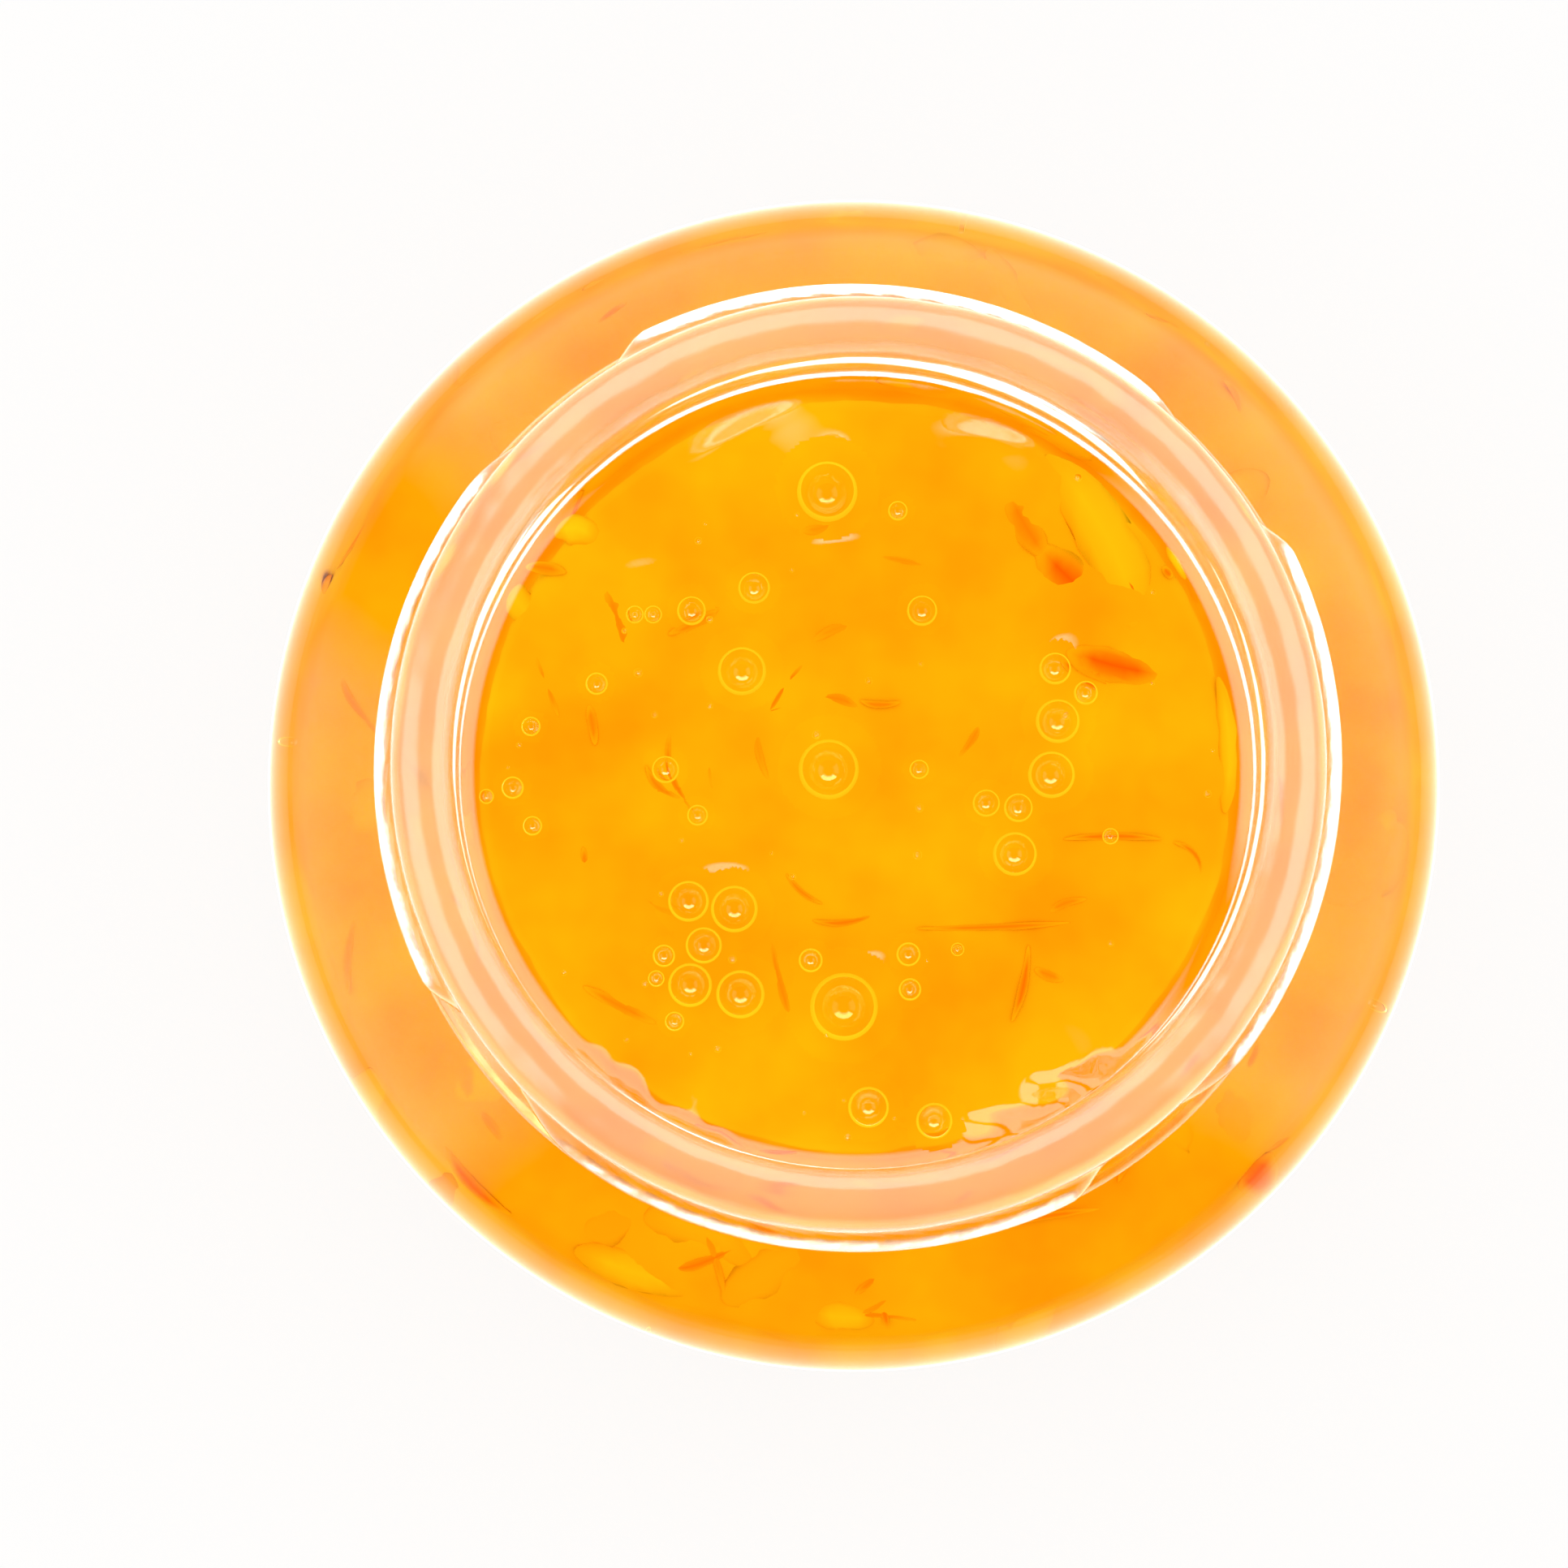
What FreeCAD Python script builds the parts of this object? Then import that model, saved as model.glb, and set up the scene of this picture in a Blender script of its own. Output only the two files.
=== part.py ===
"""Round glass food jar, open and filled with a clear fruit chutney.

The jar is one piece of pressed and blown container glass. From the bottom up it has a
bearing ring round a pushed-up base, a rounded heel, a straight wall with a shallow label
panel, a round shoulder, and a twist-off finish: a bead, four lugs that wind down the neck
and a rounded sealing lip round the mouth. The chutney wets the whole inside up to its
level, climbs the glass in a thin meniscus and has low mounds where fruit lies under it.

Millimetres and degrees. The origin is the centre of the bearing ring, with +Z up.
"""
import FreeCAD, Part
import math
import os
import re

import Sketcher
from FreeCAD import Placement, Rotation, Vector

PARTS_FOLDER = "parts"

# Driving dimensions: alias, value, what it is. Each is set once, here.
SIZES = [
    ("jar_height", 96.0, "bearing ring to rim"),
    ("body_radius", 39.6, "outside of the heel and shoulder bands"),
    ("body_wall", 2.3, "glass of the side wall"),
    ("base_glass", 4.2, "glass of the base"),
    ("bearing_width", 2.4, "width of the flat ring that the jar stands on"),
    ("bearing_round", 0.6, "rounding inside that ring"),
    ("step_width", 1.8, "breadth of the first rise inside the ring"),
    ("step_height", 1.2, "height of that rise"),
    ("push_up", 2.6, "height of the raised middle of the base"),
    ("push_up_flat", 13.0, "radius of the level middle of the base"),
    ("base_round", 7.0, "roundings of the base between middle and ring"),
    ("heel_round", 5.2, "outside rounding between wall and base"),
    ("heel_band", 9.0, "bearing ring to the foot of the label panel"),
    ("label_recess", 0.35, "depth of the label panel"),
    ("label_slope", 1.4, "height over which the panel steps in"),
    ("label_round", 4.0, "roundings of that step"),
    ("shoulder_band", 3.0, "head of the panel to the end of the straight wall"),
    ("shoulder_round", 4.7, "outside rounding between wall and shoulder"),
    ("shoulder_steep", 3.4, "fall of the shoulder's outer half to the wall"),
    ("shoulder_gentle", 1.4, "fall of its inner half from the neck"),
    ("shoulder_blend", 12.0, "rounding between those halves"),
    ("shoulder_glass", 1.0, "drop from the shoulder's outside corner to its inside one"),
    ("neck_round", 1.2, "hollow rounding where neck meets shoulder"),
    ("throat_round", 3.0, "inside rounding where shoulder meets mouth"),
    ("finish_height", 13.6, "rim to the root of the neck"),
    ("neck_radius", 29.9, "outside of the neck between lugs"),
    ("neck_wall", 4.1, "glass of the neck between lugs"),
    ("lip_inner_round", 1.6, "rounding of the lip into the mouth"),
    ("lip_outer_round", 2.2, "rounding of the lip on to the neck"),
    ("bead_lift", 3.2, "root of the neck to the middle of the bead"),
    ("bead_reach", 1.45, "how far the bead stands out from the neck"),
    ("bead_foot", 3.4, "height of the bead at the neck"),
    ("bead_crest", 1.6, "height of the bead at its crest"),
    ("bead_round", 0.85, "rounding of its crest"),
    ("bead_hollow", 0.5, "hollow rounding at its foot"),
    ("lug_count", 4.0, "lugs round the neck"),
    ("lug_reach", 1.3, "how far a lug stands out from the neck"),
    ("lug_width", 2.9, "height of a lug across its foot"),
    ("lug_bed", 0.5, "how deep a lug's foot is set in the neck wall"),
    ("lug_drop", 3.6, "rim to the middle of a lug at its high end"),
    ("lug_gap", 0.15, "bead to the foot of a lug at its low end"),
    ("lug_start", 123.0, "clock angle of the first lug's high end"),
    ("lug_sweep", 84.0, "angle that a lug covers"),
    ("lug_lead_in", 7.0, "angle over which a lug rises out of the neck"),
    ("lug_lead_out", 15.0, "angle over which it sinks back"),
    ("head_space", 9.2, "rim to the level of the chutney"),
    ("meniscus_rise", 0.5, "climb of the chutney up the glass"),
    ("meniscus_width", 1.5, "distance over which that climb dies away"),
]

# Low mounds on the chutney: share of the mouth radius, clock angle, height, breadth.
MOUNDS = [
    (0.84, 108.0, 0.70, 4.2),
    (0.84, 69.0, 0.50, 3.6),
    (0.60, 42.0, 0.35, 6.0),
    (0.88, 239.0, 0.45, 3.6),
    (0.88, 303.0, 0.55, 3.8),
    (0.10, 200.0, -0.25, 9.0),
]
RELIEF_SPANS = 22  # spans of the grid that the chutney's top is drawn through
RELIEF_MARGIN = 1.5  # how far that grid runs past the glass
LUG_SPAN = 16.0  # degrees between a lug's sections along its full height

# Places on the section that more than one feature uses.
RIM = "jar_height"
NECK_ROOT = f"{RIM} - finish_height"
SHOULDER_BREAK = f"{NECK_ROOT} - shoulder_gentle"
SHOULDER_EDGE = f"{SHOULDER_BREAK} - shoulder_steep"
PANEL_HEAD = f"{SHOULDER_EDGE} - shoulder_round - shoulder_band"
PANEL_RADIUS = "body_radius - label_recess"
BEARING_INSIDE = "body_radius - heel_round - bearing_width"
INSIDE_RADIUS = f"{PANEL_RADIUS} - body_wall"
INSIDE_SHOULDER = f"{SHOULDER_EDGE} - shoulder_glass"
THROAT = f"{NECK_ROOT} - body_wall"
BEAD_MIDDLE = f"{NECK_ROOT} + bead_lift"
LUG_HIGH_END = f"{RIM} - lug_drop"
LUG_LOW_END = f"{BEAD_MIDDLE} + bead_foot / 2 + lug_gap + lug_width / 2"
MOUTH_RADIUS = "neck_radius - neck_wall"

doc = FreeCAD.newDocument("chutney_jar")
sheet = doc.addObject("Spreadsheet::Sheet", "Sizes")


def fill_sheet():
    """Writes each size into the sheet as a plain number with an alias."""
    for row, (alias, number, meaning) in enumerate(SIZES, start=1):
        sheet.set(f"A{row}", alias)
        sheet.set(f"B{row}", str(number))
        sheet.set(f"C{row}", meaning)
        sheet.setAlias(f"B{row}", alias)
    doc.recompute()


def size(expression):
    """The number that an expression over the sheet's aliases gives."""
    result = sheet.evalExpression(expression)
    return float(getattr(result, "Value", result))


def bound(expression):
    """The same expression as other objects write it, with the sheet's name."""
    return re.sub(r"\b[a-z]\w*\b(?!\()", r"Sizes.\g<0>", expression)


def origin_feature(body, role):
    """A plane or axis of a body's own origin."""
    return next(f for f in body.Origin.OriginFeatures if f.Role == role)


def new_sketch(body, name):
    """A sketch on the body's XZ plane: its x is a radius and its y a height."""
    sketch = body.newObject("Sketcher::SketchObject", name)
    sketch.AttachmentSupport = [(origin_feature(body, "XZ_Plane"), "")]
    sketch.MapMode = "FlatFace"
    sketch.Visibility = False
    return sketch


def hold(sketch, kind, expression, *where):
    """A dimension on a sketch, bound to an expression."""
    rule = Sketcher.Constraint(kind, *where, size(expression))
    index = sketch.addConstraint(rule)
    sketch.setExpression(f"Constraints[{index}]", bound(expression))


def hold_point(sketch, edge, end, across, up):
    """Holds one point of an edge to two expressions, or to the axis where across is 0."""
    if across == "0":
        sketch.addConstraint(Sketcher.Constraint("PointOnObject", edge, end, -2))
    else:
        hold(sketch, "DistanceX", across, -1, 1, edge, end)
    if up == "0":
        sketch.addConstraint(Sketcher.Constraint("PointOnObject", edge, end, -1))
    else:
        hold(sketch, "DistanceY", up, -1, 1, edge, end)


def rounding(before, corner, after, radius):
    """Where a rounding leaves the first line, its middle, and where it meets the next."""
    back = (before - corner).normalize()
    ahead = (after - corner).normalize()
    half = back.getAngle(ahead) / 2
    setback = radius / math.tan(half)
    centre = corner + (back + ahead).normalize() * (radius / math.sin(half))
    middle = centre + (corner - centre).normalize() * radius
    return corner + back * setback, middle, corner + ahead * setback


def outline(body, name, corners):
    """A closed section through corners (radius, height) or (radius, height, rounding)."""
    sketch = new_sketch(body, name)
    points = [Vector(size(corner[0]), size(corner[1]), 0) for corner in corners]
    count = len(points)
    leave = list(points)
    meet = list(points)
    middles = {}
    for index, corner in enumerate(corners):
        if len(corner) == 3:
            trio = points[index - 1], points[index], points[(index + 1) % count]
            leave[index], middles[index], meet[index] = rounding(*trio, size(corner[2]))
    for index in range(count):
        line = Part.LineSegment(meet[index], leave[(index + 1) % count])
        sketch.addGeometry(line, False)
    for index, corner in enumerate(corners):
        line_in = (index - 1) % count
        if index not in middles:
            joint = Sketcher.Constraint("Coincident", line_in, 2, index, 1)
            sketch.addConstraint(joint)
            hold_point(sketch, index, 1, corner[0], corner[1])
            continue
        turn = (leave[index] - points[index]).cross(meet[index] - points[index]).z
        ends = (leave[index], meet[index]) if turn < 0 else (meet[index], leave[index])
        arc = sketch.addGeometry(Part.Arc(ends[0], middles[index], ends[1]), False)
        first, last = (1, 2) if turn < 0 else (2, 1)
        sketch.addConstraint(Sketcher.Constraint("Tangent", line_in, 2, arc, first))
        sketch.addConstraint(Sketcher.Constraint("Tangent", arc, last, index, 1))
        hold(sketch, "Radius", corner[2], arc)
        mark = sketch.addGeometry(Part.Point(points[index]), True)
        sketch.addConstraint(Sketcher.Constraint("PointOnObject", mark, 1, line_in))
        sketch.addConstraint(Sketcher.Constraint("PointOnObject", mark, 1, index))
        hold_point(sketch, mark, 1, corner[0], corner[1])
    return sketch


def turned(body, name, sketch):
    """A Revolution of a section about the jar's axis."""
    feature = body.newObject("PartDesign::Revolution", name)
    feature.Profile = sketch
    feature.ReferenceAxis = (sketch, ["V_Axis"])
    feature.Angle = 360.0
    doc.recompute()
    return feature


def outside_corners():
    """The outside of the jar from the middle of the base up to the rim."""
    shoulder_blend = "min(shoulder_blend; (body_radius - neck_radius) * 1.25)"
    half_foot = "bead_foot / 2"
    half_crest = "bead_crest / 2"
    return [
        ("0", "push_up"),
        ("push_up_flat", "push_up", "base_round"),
        (f"{BEARING_INSIDE} - step_width", "step_height", "step_width / 2"),
        (BEARING_INSIDE, "0", "bearing_round"),
        ("body_radius", "0", "heel_round"),
        ("body_radius", "heel_band", "label_round"),
        (PANEL_RADIUS, "heel_band + label_slope", "label_round"),
        (PANEL_RADIUS, f"{PANEL_HEAD} - label_slope", "label_round"),
        ("body_radius", PANEL_HEAD, "label_round"),
        ("body_radius", SHOULDER_EDGE, "shoulder_round"),
        ("(body_radius + neck_radius) / 2", SHOULDER_BREAK, shoulder_blend),
        ("neck_radius", NECK_ROOT, "neck_round"),
        ("neck_radius", f"{BEAD_MIDDLE} - {half_foot}", "bead_hollow"),
        ("neck_radius + bead_reach", f"{BEAD_MIDDLE} - {half_crest}", "bead_round"),
        ("neck_radius + bead_reach", f"{BEAD_MIDDLE} + {half_crest}", "bead_round"),
        ("neck_radius", f"{BEAD_MIDDLE} + {half_foot}", "bead_hollow"),
        ("neck_radius", RIM, "lip_outer_round"),
    ]


def inside_corners():
    """The inside from the middle of the floor up to the throat. The chutney has it too."""
    return [
        ("0", "base_glass + push_up"),
        ("push_up_flat", "base_glass + push_up", "base_round"),
        (BEARING_INSIDE, "base_glass", "base_round"),
        (INSIDE_RADIUS, "base_glass", "heel_round - body_wall + bearing_width / 2"),
        (INSIDE_RADIUS, INSIDE_SHOULDER, "shoulder_round - body_wall"),
        (MOUTH_RADIUS, THROAT, "throat_round"),
    ]


def lug_stations():
    """Angles along a lug, from its high end, at which it has a section."""
    sweep, lead_in, lead_out = size("lug_sweep"), size("lug_lead_in"), size("lug_lead_out")
    level = sweep - lead_in - lead_out
    spans = max(2, round(level / LUG_SPAN))
    rising = [0.0, lead_in / 2]
    running = [lead_in + level * step / spans for step in range(spans + 1)]
    sinking = [sweep - lead_out / 2, sweep]
    return rising + running + sinking


def lug_fullness(angle):
    """1 along a lug's full height, easing to 0 at its two ends."""
    rise = angle / size("lug_lead_in")
    sink = (size("lug_sweep") - angle) / size("lug_lead_out")
    share = max(0.0, min(1.0, rise, sink))
    return share * share * (3 - 2 * share)


def lug_section(body, index, angle):
    """One cross-section of a lug: a flat foot in the wall and a round back."""
    fullness = lug_fullness(angle)
    foot = "neck_radius - lug_bed"
    half = "lug_width / 2"
    crest = f"(lug_bed / 2 + (lug_bed / 2 + lug_reach) * {fullness:.6f})"
    back = f"({half} * {half} + {crest} * {crest}) / (2 * {crest})"
    low = Vector(size(foot), -size(half), 0)
    high = Vector(size(foot), size(half), 0)
    top = Vector(size(f"{foot} + {crest}"), 0, 0)
    sketch = new_sketch(body, f"lug_section_{index}")
    sketch.addGeometry(Part.LineSegment(high, low), False)
    sketch.addGeometry(Part.Arc(low, top, high), False)
    sketch.addConstraint(Sketcher.Constraint("Coincident", 0, 2, 1, 1))
    sketch.addConstraint(Sketcher.Constraint("Coincident", 0, 1, 1, 2))
    hold_point(sketch, 0, 2, foot, f"0 - {half}")
    hold_point(sketch, 0, 1, foot, half)
    hold(sketch, "Radius", back, 1)
    turn = Rotation(Vector(0, 1, 0), size("lug_start") - angle)
    sketch.AttachmentOffset = Placement(Vector(0, 0, 0), turn)
    share = angle / size("lug_sweep")
    middle = f"({LUG_HIGH_END}) * {1 - share:.6f} + ({LUG_LOW_END}) * {share:.6f}"
    sketch.setExpression("AttachmentOffset.Base.y", bound(middle))
    return sketch


def neck_lugs(body):
    """One lug lofted along its winding path, then patterned round the neck."""
    stations = enumerate(lug_stations())
    sections = [lug_section(body, index, angle) for index, angle in stations]
    doc.recompute()
    lug = body.newObject("PartDesign::AdditiveLoft", "lug")
    lug.Profile = sections[0]
    lug.Sections = [(section, [""]) for section in sections[1:]]
    doc.recompute()
    pattern = body.newObject("PartDesign::PolarPattern", "lugs")
    pattern.Originals = [lug]
    pattern.Axis = (origin_feature(body, "Z_Axis"), [""])
    pattern.Angle = 360.0
    pattern.setExpression("Occurrences", bound("lug_count"))
    body.Tip = pattern
    doc.recompute()


def jar_glass():
    """The jar: its whole section turned about the axis, with the lugs on its neck."""
    body = doc.addObject("PartDesign::Body", "jar_glass")
    body.Label = "jar_glass"
    lip = [(MOUTH_RADIUS, RIM, "lip_inner_round")]
    corners = outside_corners() + lip + inside_corners()[::-1]
    turned(body, "walls", outline(body, "wall_section", corners))
    neck_lugs(body)
    return body


def chutney_height(across, along):
    """Height of the chutney's top at a point: level, meniscus and mounds."""
    mouth = size(MOUTH_RADIUS)
    from_glass = max(0.0, mouth - math.hypot(across, along))
    height = size(f"{RIM} - head_space")
    height += size("meniscus_rise") * math.exp(-from_glass / size("meniscus_width"))
    for share, clock, rise, breadth in MOUNDS:
        turn = math.radians(clock)
        offset = math.hypot(
            across - share * mouth * math.cos(turn),
            along - share * mouth * math.sin(turn),
        )
        height += rise * math.exp(-((offset / breadth) ** 2))
    return height


def relief_tool():
    """A solid whose underside is the chutney's top, to trim the filling with."""
    reach = size(MOUTH_RADIUS) + RELIEF_MARGIN
    marks = [reach * (2 * step / RELIEF_SPANS - 1) for step in range(RELIEF_SPANS + 1)]
    surface = Part.BSplineSurface()
    surface.interpolate([[Vector(x, y, chutney_height(x, y)) for y in marks] for x in marks])
    tool = doc.addObject("Part::Feature", "relief_tool")
    tool.Shape = surface.toShape().extrude(Vector(0, 0, 2 * size("head_space")))
    tool.Placement = Placement()
    return tool


def chutney():
    """The filling: the inside of the jar up to the rim, trimmed to its top."""
    bulk = doc.addObject("PartDesign::Body", "chutney_bulk")
    corners = inside_corners() + [(MOUTH_RADIUS, RIM), ("0", RIM)]
    turned(bulk, "filling", outline(bulk, "filling_section", corners))
    trimmed = doc.addObject("Part::Cut", "chutney")
    trimmed.Label = "chutney"
    trimmed.Base = bulk
    trimmed.Tool = relief_tool()
    doc.recompute()
    return trimmed


def check_document():
    """Stops the build if any object has failed or any section isn't fully held."""
    failed = [item.Name for item in doc.Objects if {"Invalid", "Error"} & set(item.State)]
    sketches = doc.findObjects("Sketcher::SketchObject")
    loose = [sketch.Name for sketch in sketches if not sketch.FullyConstrained]
    if failed or loose:
        raise RuntimeError(f"failed objects: {failed}, sketches not held: {loose}")


def write_parts(nodes):
    """Checks each sub-part's shape and writes it under its label."""
    os.makedirs(PARTS_FOLDER, exist_ok=True)
    for node in nodes:
        shape = node.Shape
        if shape.isNull() or not shape.isValid() or len(shape.Solids) != 1:
            raise RuntimeError(f"{node.Label} is not one sound solid")
        shape.exportStep(os.path.join(PARTS_FOLDER, f"{node.Label}.step"))
        print(f"{node.Label}: {shape.Volume / 1000:.2f} ml, {len(shape.Faces)} faces")


def main():
    """Fills the sheet, builds both sub-parts and writes them."""
    fill_sheet()
    nodes = [jar_glass(), chutney()]
    doc.recompute()
    check_document()
    write_parts(nodes)


main()
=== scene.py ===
"""Open twist-off jar of fruit chutney: clear glass round a golden set gel.

The gel holds air bubbles, shreds of peel and soft fruit over a cloudy heart of pulp.
Lengths in the script are metres, like the frame, and sizes are given in millimetres.
"""
import math
import random

import bmesh
import bpy
from bpy.props import FloatProperty, FloatVectorProperty, IntProperty, PointerProperty
from mathutils import Matrix, Vector, noise


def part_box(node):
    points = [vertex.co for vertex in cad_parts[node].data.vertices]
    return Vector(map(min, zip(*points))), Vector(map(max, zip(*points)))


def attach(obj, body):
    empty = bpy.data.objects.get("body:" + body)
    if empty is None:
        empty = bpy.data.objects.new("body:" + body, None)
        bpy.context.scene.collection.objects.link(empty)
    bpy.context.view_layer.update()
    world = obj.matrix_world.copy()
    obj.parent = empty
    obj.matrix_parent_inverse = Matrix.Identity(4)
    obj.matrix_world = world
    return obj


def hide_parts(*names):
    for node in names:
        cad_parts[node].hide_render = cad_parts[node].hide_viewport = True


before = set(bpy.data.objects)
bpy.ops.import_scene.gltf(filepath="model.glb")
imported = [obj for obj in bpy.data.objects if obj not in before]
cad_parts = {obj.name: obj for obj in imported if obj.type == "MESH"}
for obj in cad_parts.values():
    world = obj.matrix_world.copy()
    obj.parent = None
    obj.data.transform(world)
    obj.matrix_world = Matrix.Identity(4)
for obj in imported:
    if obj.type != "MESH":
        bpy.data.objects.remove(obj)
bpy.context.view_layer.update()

bl_info = {
    "name": "Chutney Jar",
    "version": (1, 0, 0),
    "blender": (4, 5, 0),
    "location": "View3D > Sidebar > Chutney Jar",
    "description": "Builds an open glass jar of fruit chutney round its packed frame",
    "category": "Object",
}

MM = 0.001
CLOSE = 1e-6  # two places closer than this are one
GLASS_IOR = 1.52
GEL_IOR = 1.42  # a syrup of about half sugar
MATCHED = 1.001  # where two clear pieces touch
WETTED = "wetted"  # the faces that touch the other clear piece
RIM_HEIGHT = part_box("jar_glass")[1][2]
BODY_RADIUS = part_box("jar_glass")[1][0]


def hex_colour(code):
    """An sRGB hex colour as linear red, green and blue."""
    channels = (int(code[start:start + 2], 16) / 255 for start in (1, 3, 5))
    return tuple(c / 12.92 if c <= 0.04045 else ((c + 0.055) / 1.055) ** 2.4 for c in channels)


def length(name, millimetres, description):
    """A property that holds a length."""
    return FloatProperty(
        name=name, description=description, default=millimetres * MM, unit="LENGTH"
    )


def angle(name, degrees, description):
    """A property that holds an angle."""
    return FloatProperty(
        name=name, description=description, default=math.radians(degrees), unit="ROTATION"
    )


def colour(name, code, description):
    """A property that holds a colour."""
    return FloatVectorProperty(
        name=name, description=description, default=hex_colour(code), subtype="COLOR",
        min=0.0, max=1.0,
    )


class GlassSizes(bpy.types.PropertyGroup):
    """Section of the jar and of its twist-off finish."""

    body_wall: length("Side wall", 2.3, "Glass of the side wall")
    base_glass: length("Base glass", 4.2, "Glass of the base")
    bearing_width: length("Bearing ring", 2.4, "Width of the ring that the jar stands on")
    bearing_round: length("Bearing edge", 0.6, "Rounding of the ring's inner edge")
    step_width: length("Step width", 1.8, "Width of the step inside the bearing ring")
    step_height: length("Step height", 1.2, "Height of that step")
    step_round: length("Step edge", 0.9, "Rounding in the step's corner")
    push_up: length("Push-up", 2.6, "Height of the raised middle of the base")
    push_up_flat: length("Push-up flat", 13.0, "Radius of its level middle")
    base_round: length("Push-up edge", 7.0, "Rounding round that middle")
    floor_round: length("Floor corner", 4.1, "Inside rounding between floor and wall")
    heel_round: length("Heel", 5.2, "Outside rounding between wall and base")
    heel_band: length("Heel band", 9.0, "Bearing ring to the foot of the label panel")
    label_recess: length("Label recess", 0.35, "Depth of the label panel")
    label_slope: length("Label step", 1.4, "Height over which the panel steps in")
    label_round: length("Label edge", 4.0, "Rounding of the panel's edges")
    shoulder_band: length("Shoulder band", 3.0, "Panel to the end of the straight wall")
    shoulder_round: length("Shoulder", 4.7, "Outside rounding between wall and shoulder")
    shoulder_steep: length("Shoulder fall", 3.4, "Fall of the shoulder's outer half")
    shoulder_gentle: length("Shoulder crown", 1.4, "Fall of the shoulder's inner half")
    shoulder_blend: length("Shoulder blend", 12.0, "Rounding between the two halves")
    shoulder_glass: length("Shoulder glass", 1.0, "Extra glass under the shoulder's edge")
    finish_height: length("Finish", 13.6, "Rim to the root of the neck")
    neck_radius: length("Neck radius", 29.9, "Outside of the neck between lugs")
    neck_wall: length("Neck wall", 4.1, "Glass of the neck between lugs")
    neck_round: length("Neck root", 1.2, "Rounding between shoulder and neck")
    throat_round: length("Throat", 3.0, "Inside rounding between shoulder and neck")
    lip_outer: length("Outer lip", 2.2, "Rounding of the lip's outer edge")
    lip_inner: length("Inner lip", 1.6, "Rounding of the lip's inner edge")
    bead_lift: length("Bead lift", 3.2, "Root of the neck to the middle of the bead")
    bead_reach: length("Bead reach", 1.45, "How far the bead stands out")
    bead_foot: length("Bead foot", 3.4, "Height of the bead at the neck")
    bead_crest: length("Bead crest", 1.6, "Height of the bead at its crest")
    bead_root: length("Bead root", 0.5, "Rounding between bead and neck")
    bead_round: length("Bead edge", 0.85, "Rounding of the bead's crest")
    lug_reach: length("Lug reach", 1.3, "How far a lug stands out")
    lug_width: length("Lug width", 2.9, "Height of a lug across its foot")
    lug_drop: length("Lug drop", 3.6, "Rim to the middle of a lug's high end")
    lug_gap: length("Lug gap", 0.15, "Bead to the foot of a lug at its low end")
    lug_start: angle("Lug start", 123.0, "Clock angle of the first lug's high end")
    lug_sweep: angle("Lug sweep", 84.0, "Angle that a lug covers")
    lead_in: angle("Lead-in", 7.0, "Angle over which a lug rises at its high end")
    lead_out: angle("Lead-out", 15.0, "Angle over which it dies away at its low end")
    lug_count: IntProperty(name="Lugs", description="Lugs round the neck", default=4)


class ChutneySizes(bpy.types.PropertyGroup):
    """Level, relief and make-up of the chutney."""

    head_space: length("Head space", 9.2, "Rim to the level of the chutney")
    meniscus_rise: length("Meniscus", 0.5, "Climb of the gel up the glass")
    meniscus_width: length("Meniscus width", 0.5, "Distance over which it dies away")
    wall_overlap: length("Overlap", 0.15, "How far the gel reaches into the glass")
    skin: length("Clear skin", 0.8, "Clear gel between the glass and the cloudy pulp")
    clear_depth: length("Clear depth", 5.0, "Clear gel over the cloudy pulp")
    bubble_cover: length("Bubble cover", 0.1, "Gel over the bubbles")
    seed: IntProperty(name="Seed", description="Order of the scattered pieces", default=7)


class Finishes(bpy.types.PropertyGroup):
    """Colours of the glass, the gel and what is in it."""

    glass_tint: colour("Glass tint", "#FBFEFD", "Faint green of soda-lime glass")
    gel_tint: colour("Gel tint", "#FFED60", "What the clear gel lets through")
    pulp: colour("Pulp", "#FFCC18", "Cloudy heart of the chutney")
    pulp_dark: colour("Dark pulp", "#FFB010", "Deeper patches of the pulp")
    # painted shade: this colour darkens the pulp, fruit and peel round the shoulder
    shoulder_shade: colour("Wall depth", "#FFDC90", "Deepens the pulp round the shoulder")
    peel: colour("Peel", "#FF6A00", "Cooked shreds of peel")
    fruit: colour("Fruit", "#FFDC20", "Soft pale pieces of fruit")
    # painted light: the bright yellow ring painted round each bubble
    ring_glow: colour("Bubble film", "#FFE428", "Gel stretched thin round a bubble")
    floor: colour("Floor", "#F4F4F3", "Studio floor")


# ---------------------------------------------------------------- shared helpers


ARC_STEP = math.radians(6)  # the finest turn of a rounding
SECTORS = 20


def section(bm, corners):
    """A wire through (radius, height, rounding) corners, in the half-plane y = 0."""
    marks = [bm.verts.new((across, 0.0, up)) for across, up, _ in corners]
    for first, second in zip(marks, marks[1:]):
        bm.edges.new((first, second))
    places = [Vector((across, 0.0, up)) for across, up, _ in corners]
    for index, (_, _, rounding) in enumerate(corners):
        if not rounding:
            continue
        back = places[index - 1] - places[index]
        ahead = places[index + 1] - places[index]
        turn = math.pi - back.angle(ahead)
        bmesh.ops.bevel(
            bm, geom=[marks[index]], offset=rounding * math.tan(turn / 2),
            offset_type="OFFSET", affect="VERTICES", profile=0.5, material=-1,
            segments=max(3, math.ceil(turn / ARC_STEP)),
        )


def divide(bm, low, high, cuts):
    """Cuts the wire edges whose two ends lie between two corners (radius, height)."""
    edges = [
        edge for edge in bm.edges
        if all(
            low[0] - CLOSE <= vert.co.x <= high[0] + CLOSE
            and low[1] - CLOSE <= vert.co.z <= high[1] + CLOSE
            for vert in edge.verts
        )
    ]
    bmesh.ops.subdivide_edges(bm, edges=edges, cuts=cuts)


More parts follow.
